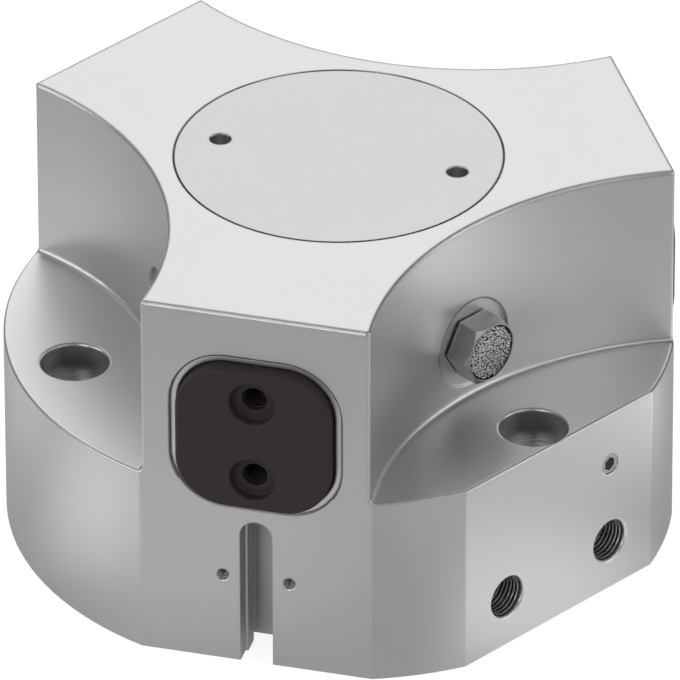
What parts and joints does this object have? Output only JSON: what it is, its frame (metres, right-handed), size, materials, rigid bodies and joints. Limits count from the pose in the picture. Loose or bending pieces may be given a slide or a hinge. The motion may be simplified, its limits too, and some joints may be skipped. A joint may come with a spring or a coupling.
{
  "type": "three-jaw pneumatic gripper",
  "caption": "Radial gripper: round body with towers and concave bays, jaws driven outward together by a central wedge hook and piston",
  "frame": {"origin": "centre of the mounting face, on the gripper's axis", "axes": "+Z from the mounting face up through the top cover; one jaw points along -Y, the others 120 degrees apart"},
  "size_m": [0.1306, 0.1288, 0.0785],
  "materials": {
    "machined_aluminium": "fine blasted and clear anodised, satin",
    "turned_aluminium": "fine turned, satin",
    "dark_jaw": "hardened steel, dark conversion coat, matte",
    "wiper_grey": "satin, rounded face",
    "tool_steel": "ground",
    "plated_steel": "satin",
    "piston_aluminium": "turned",
    "bearing_bronze": "plain",
    "seal_rubber": "matte",
    "band_plastic": "matte",
    "sintered_metal": "open sintered grain"
  },
  "bodies": {
    "body": {"housing": "machined_aluminium", "top_cover": "turned_aluminium", "base_cover": "turned_aluminium", "jaw_wiper_front": "wiper_grey", "jaw_wiper_right": "wiper_grey", "jaw_wiper_left": "wiper_grey", "retaining_ring": "tool_steel", "drill_ball": "tool_steel", "passage_screw": "plated_steel", "bay_plug": "plated_steel", "filter_body": "plated_steel", "rod_bush": "bearing_bronze", "top_cover_seal": "seal_rubber", "rod_seal": "seal_rubber", "upper_bumper": "seal_rubber", "lower_bumper": "seal_rubber", "base_cover_seal": "seal_rubber", "filter_gasket": "seal_rubber", "filter_disc": "sintered_metal"},
    "drive": {"wedge_core": "tool_steel", "piston": "piston_aluminium", "piston_screw": "plated_steel", "piston_seal": "seal_rubber", "guide_band": "band_plastic", "spigot_seal": "seal_rubber", "magnet_ring": "band_plastic"},
    "jaw_front": {"jaw_front": "dark_jaw"},
    "jaw_right": {"jaw_right": "dark_jaw"},
    "jaw_left": {"jaw_left": "dark_jaw"}
  },
  "joints": [
    {"name": "piston_slide", "type": "slide", "parent": "body", "child": "drive", "axis": [0, 0, 1], "range_m": [0, 0.01]},
    {"name": "jaw_slide_front", "type": "slide", "parent": "body", "child": "jaw_front", "axis": [0, -1, 0], "range_m": [0, 0.006]},
    {"name": "jaw_slide_right", "type": "slide", "parent": "body", "child": "jaw_right", "axis": [0.866, 0.5, 0], "range_m": [0, 0.006]},
    {"name": "jaw_slide_left", "type": "slide", "parent": "body", "child": "jaw_left", "axis": [-0.866, 0.5, 0], "range_m": [0, 0.006]}
  ],
  "couplings": [
    {"joint": "jaw_slide_front", "follows": "piston_slide", "ratio": 0.6},
    {"joint": "jaw_slide_right", "follows": "piston_slide", "ratio": 0.6},
    {"joint": "jaw_slide_left", "follows": "piston_slide", "ratio": 0.6}
  ]
}
